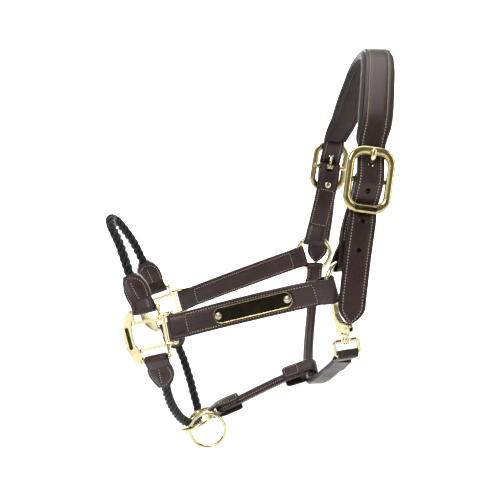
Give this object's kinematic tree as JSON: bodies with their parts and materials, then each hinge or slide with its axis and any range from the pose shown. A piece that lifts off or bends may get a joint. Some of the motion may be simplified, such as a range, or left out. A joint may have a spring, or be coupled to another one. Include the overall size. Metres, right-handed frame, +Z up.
{
  "type": "headcollar",
  "caption": "Leather headcollar with a padded crown, twisted rope nose and chin, brass square fittings and buckles, and a throat lash that clips on with a snap.",
  "frame": {"origin": "where the padded crown rests on the poll, at the middle of the crown strap's underside", "axes": "+X to the rear of the horse, +Y to its far (right) side, +Z up; the nose points along -X"},
  "size_m": [0.3002, 0.2311, 0.4338],
  "materials": {
    "leather": "dark brown bridle leather, satin",
    "lining": "soft dark grey-brown padded lining",
    "foam": "closed-cell foam inside the lining",
    "brass": "polished pale brass",
    "antique_brass": "polished deeper brass",
    "plate": "mirror-polished brass plate, blank",
    "rivet": "copper-coloured round rivets",
    "rope": "near-black three-strand twisted rope",
    "cord": "white cotton cord inside the rolled straps",
    "spring_steel": "coil of spring wire"
  },
  "bodies": {
    "straps": {"crown_strap": "leather", "crown_padding": "lining", "crown_foam": "foam", "near_chape": "leather", "far_chape": "leather", "near_chape_rivet": "brass", "far_chape_rivet": "brass", "near_cheek_strap": "leather", "far_cheek_strap": "leather", "nameplate": "plate", "nameplate_rivets": "rivet", "near_square": "brass", "far_square": "brass", "near_nose_tab": "leather", "far_nose_tab": "leather", "nose_rope": "rope", "near_chin_tab": "leather", "far_chin_tab": "leather", "chin_rope": "rope", "jaw_strap": "leather", "jaw_core": "cord", "jaw_front_tab": "leather", "jaw_rear_tab": "leather", "throat_lash": "leather", "throat_core": "cord", "snap_eye": "brass"},
    "near_buckle": {"near_buckle": "antique_brass"},
    "near_prong": {"near_prong": "brass"},
    "far_buckle": {"far_buckle": "antique_brass"},
    "far_prong": {"far_prong": "brass"},
    "near_ring": {"near_cheek_ring": "brass"},
    "far_ring": {"far_cheek_ring": "brass"},
    "chin_ring": {"chin_ring": "brass"},
    "lead_ring": {"lead_ring": "brass"},
    "snap_body": {"snap_body": "brass", "snap_pin": "antique_brass", "snap_spring": "spring_steel"},
    "snap_gate": {"snap_gate": "brass"}
  },
  "joints": [
    {"name": "near_buckle_rock", "type": "hinge", "parent": "straps", "child": "near_buckle", "pos_m": [-0.0245, -0.103, -0.1235], "axis": [0.9914, 0, -0.1305], "range_deg": [-2, 2]},
    {"name": "near_prong_lift", "type": "hinge", "parent": "near_buckle", "child": "near_prong", "pos_m": [-0.0245, -0.103, -0.1235], "axis": [0.9914, 0, -0.1305], "range_deg": [0, 4]},
    {"name": "far_buckle_rock", "type": "hinge", "parent": "straps", "child": "far_buckle", "pos_m": [-0.0255, 0.103, -0.1105], "axis": [-0.9914, 0, 0.1305], "range_deg": [-2, 2]},
    {"name": "far_prong_lift", "type": "hinge", "parent": "far_buckle", "child": "far_prong", "pos_m": [-0.0255, 0.103, -0.1105], "axis": [-0.9914, 0, 0.1305], "range_deg": [0, 4]},
    {"name": "near_ring_spin", "type": "hinge", "parent": "straps", "child": "near_ring", "pos_m": [-0.044, -0.097, -0.2185], "axis": [-0.5299, 0.848, 0], "continuous": true},
    {"name": "far_ring_spin", "type": "hinge", "parent": "straps", "child": "far_ring", "pos_m": [-0.044, 0.101, -0.2185], "axis": [0.1736, 0.9848, 0], "continuous": true},
    {"name": "chin_ring_spin", "type": "hinge", "parent": "straps", "child": "chin_ring", "pos_m": [-0.188, 0, -0.394], "axis": [-0.4384, 0, 0.8988], "continuous": true},
    {"name": "lead_ring_swing", "type": "hinge", "parent": "straps", "child": "lead_ring", "pos_m": [-0.17378, -0.01304, -0.38707], "axis": [0, 1, 0], "range_deg": [-25, 0]},
    {"name": "snap_swivel", "type": "hinge", "parent": "straps", "child": "snap_body", "pos_m": [-0.041, -0.099, -0.275], "axis": [-0.1564, 0, 0.9877], "range_deg": [-10, 10]},
    {"name": "snap_gate_open", "type": "hinge", "parent": "snap_body", "child": "snap_gate", "pos_m": [-0.03982, -0.10225, -0.26165], "axis": [-0.6984, -0.7071, -0.1106], "range_deg": [0, 25], "stiffness_Nm_per_rad": 0.01, "springref_deg": -22.92}
  ]
}
